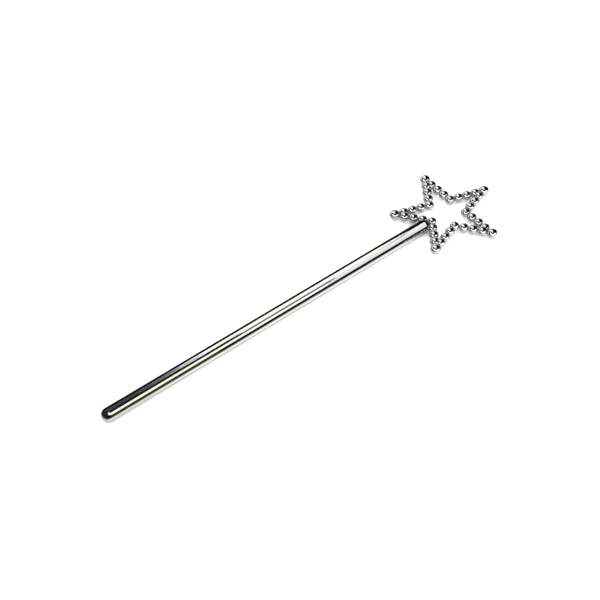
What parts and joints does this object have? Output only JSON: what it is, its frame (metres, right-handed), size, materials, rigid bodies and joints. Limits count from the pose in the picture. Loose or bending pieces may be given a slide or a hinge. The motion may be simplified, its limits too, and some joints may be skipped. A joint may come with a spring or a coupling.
{
  "type": "fairy wand",
  "caption": "Toy fairy wand: a round chromed tube with domed ends and an open beaded star head that turns on the nose.",
  "frame": {"origin": "on the shaft's axis at the middle of the hand grip, 52 mm from the handle end", "axes": "+X along the shaft towards the star, +Z square to the star's plane, +Y across the star"},
  "size_m": [0.307, 0.0726, 0.0092],
  "materials": {
    "shaft_chrome": "mirror-bright vacuum-metallised plastic under clear lacquer",
    "ball_chrome": "mirror-bright vacuum-metallised plastic under clear lacquer",
    "wire_steel": "plain drawn wire",
    "crimp_metal": "plain crimped tube"
  },
  "bodies": {
    "shaft": {"shaft_tube": "shaft_chrome", "handle_cap": "shaft_chrome"},
    "star_head": {"nose_plug": "shaft_chrome", "crimp_sleeve": "crimp_metal", "star_wire": "wire_steel", "tip_ball_1": "ball_chrome", "neck_ball_1a": "ball_chrome", "mid_ball_1a": "ball_chrome", "base_ball_1a": "ball_chrome", "neck_ball_1b": "ball_chrome", "mid_ball_1b": "ball_chrome", "base_ball_1b": "ball_chrome", "corner_ball_1": "ball_chrome", "tip_ball_2": "ball_chrome", "neck_ball_2a": "ball_chrome", "mid_ball_2a": "ball_chrome", "base_ball_2a": "ball_chrome", "neck_ball_2b": "ball_chrome", "mid_ball_2b": "ball_chrome", "base_ball_2b": "ball_chrome", "corner_ball_2": "ball_chrome", "tip_ball_3": "ball_chrome", "neck_ball_3a": "ball_chrome", "mid_ball_3a": "ball_chrome", "base_ball_3a": "ball_chrome", "neck_ball_3b": "ball_chrome", "mid_ball_3b": "ball_chrome", "base_ball_3b": "ball_chrome", "root_ball": "ball_chrome", "tip_ball_4": "ball_chrome", "neck_ball_4a": "ball_chrome", "mid_ball_4a": "ball_chrome", "base_ball_4a": "ball_chrome", "neck_ball_4b": "ball_chrome", "mid_ball_4b": "ball_chrome", "base_ball_4b": "ball_chrome", "corner_ball_4": "ball_chrome", "tip_ball_5": "ball_chrome", "neck_ball_5a": "ball_chrome", "mid_ball_5a": "ball_chrome", "base_ball_5a": "ball_chrome", "neck_ball_5b": "ball_chrome", "mid_ball_5b": "ball_chrome", "base_ball_5b": "ball_chrome", "corner_ball_5": "ball_chrome"}
  },
  "joints": [
    {"name": "star_swivel", "type": "hinge", "parent": "shaft", "child": "star_head", "pos_m": [0.1965, 0, 0], "axis": [1, 0, 0], "continuous": true}
  ]
}
